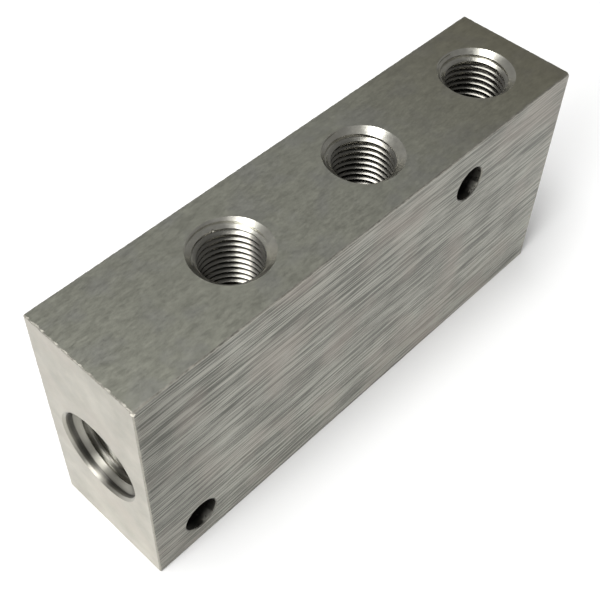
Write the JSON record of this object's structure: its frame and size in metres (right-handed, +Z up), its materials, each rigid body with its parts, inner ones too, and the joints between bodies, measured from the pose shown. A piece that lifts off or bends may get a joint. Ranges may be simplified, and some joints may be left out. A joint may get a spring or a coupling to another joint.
{
  "type": "air manifold block",
  "caption": "Rectangular steel bar with a tapped air inlet in one end, a row of tapped outlets along its top and mounting holes across it.",
  "frame": {"origin": "centre of the bar's underside", "axes": "+X along the bar from the inlet end to the closed end, +Y across the bar, +Z up through the outlets"},
  "size_m": [0.108, 0.0254, 0.0508],
  "materials": {
    "steel": "satin"
  },
  "bodies": {
    "root": {"manifold_block": "steel"}
  },
  "joints": []
}
